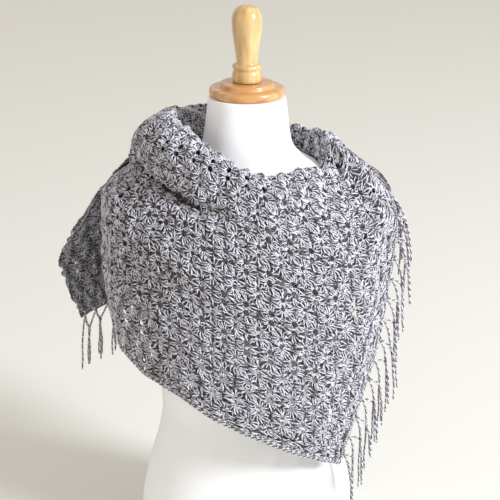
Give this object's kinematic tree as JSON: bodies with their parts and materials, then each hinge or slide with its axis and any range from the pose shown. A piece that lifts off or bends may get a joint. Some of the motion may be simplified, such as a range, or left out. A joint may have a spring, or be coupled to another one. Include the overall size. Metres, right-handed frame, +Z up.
{
  "type": "crocheted wrap on dress form",
  "caption": "Fringed rectangular wrap in crocheted shell-stitch lace, wound round the shoulders of a limbless dress form with a turned wooden neck cap.",
  "frame": {"origin": "on the form's axis, at the flat underside it stands on", "axes": "+Z up along the form's axis, +X to the form's own left side, -Y to its front"},
  "size_m": [0.5031, 0.3318, 0.7685],
  "materials": {
    "yarn": "grey marled crochet",
    "jersey": "smooth white jersey",
    "wood": "gloss varnish"
  },
  "bodies": {
    "root": {"front_panel": "yarn", "back_panel": "yarn", "neck_roll_front": "yarn", "neck_roll_back": "yarn", "left_shoulder": "yarn", "tail": "yarn", "front_fringe": "yarn", "tail_fringe": "yarn", "dress_form": "jersey", "neck_cap": "wood", "cap_handle": "wood"}
  },
  "joints": []
}
